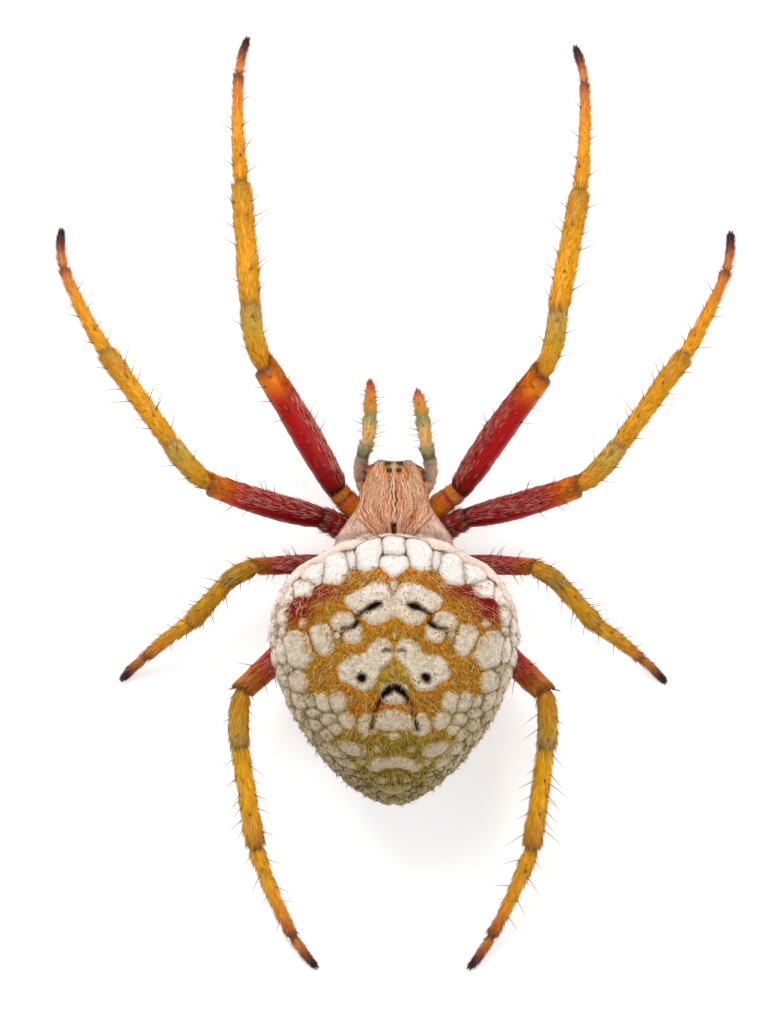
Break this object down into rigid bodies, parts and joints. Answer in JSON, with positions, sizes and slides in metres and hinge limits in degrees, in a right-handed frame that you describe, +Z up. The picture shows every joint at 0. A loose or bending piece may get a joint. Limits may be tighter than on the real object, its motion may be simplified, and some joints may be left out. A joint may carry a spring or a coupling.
{
  "type": "zealaranea trinotata orb-weaver spider",
  "caption": "Life-size orb-weaver spider at rest on its feet: a broad patterned abdomen overhangs a low carapace, and long banded legs with spines spread wide.",
  "frame": {"origin": "on the floor, under the middle of the leg span", "axes": "the head points along -Y, the spider's left is +X, and +Z is up from the floor"},
  "size_m": [0.0224, 0.0306, 0.0074],
  "materials": {
    "carapace": "satin tan cuticle under pale hairs",
    "sternum": "satin dark brown cuticle",
    "abdomen": "satin white pads over a golden brown ground",
    "pedicel": "satin brown cuticle",
    "spinnerets": "satin dark brown cuticle",
    "chelicera": "smooth reddish brown cuticle",
    "fang": "glossy near black",
    "maxilla": "satin brown cuticle",
    "palp": "satin olive yellow cuticle",
    "eye": "glossy black lens",
    "femur": "satin deep red cuticle",
    "tibia": "satin golden yellow cuticle",
    "tarsus": "satin golden orange cuticle with dark tips"
  },
  "bodies": {
    "root": {"carapace": "carapace", "sternum": "sternum", "abdomen": "abdomen", "pedicel": "pedicel", "spinnerets": "spinnerets", "chelicera_left": "chelicera", "fang_left": "fang", "maxilla_left": "maxilla", "palp_left": "palp", "eye_front_middle_left": "eye", "eye_rear_middle_left": "eye", "eye_front_side_left": "eye", "eye_rear_side_left": "eye", "leg_1_left_femur": "femur", "leg_1_left_tibia": "tibia", "leg_1_left_tarsus": "tarsus", "leg_2_left_femur": "femur", "leg_2_left_tibia": "tibia", "leg_2_left_tarsus": "tarsus", "leg_3_left_femur": "femur", "leg_3_left_tibia": "tibia", "leg_3_left_tarsus": "tarsus", "leg_4_left_femur": "femur", "leg_4_left_tibia": "tibia", "leg_4_left_tarsus": "tarsus", "chelicera_right": "chelicera", "fang_right": "fang", "maxilla_right": "maxilla", "palp_right": "palp", "eye_front_middle_right": "eye", "eye_rear_middle_right": "eye", "eye_front_side_right": "eye", "eye_rear_side_right": "eye", "leg_1_right_femur": "femur", "leg_1_right_tibia": "tibia", "leg_1_right_tarsus": "tarsus", "leg_2_right_femur": "femur", "leg_2_right_tibia": "tibia", "leg_2_right_tarsus": "tarsus", "leg_3_right_femur": "femur", "leg_3_right_tibia": "tibia", "leg_3_right_tarsus": "tarsus", "leg_4_right_femur": "femur", "leg_4_right_tibia": "tibia", "leg_4_right_tarsus": "tarsus"}
  },
  "joints": []
}
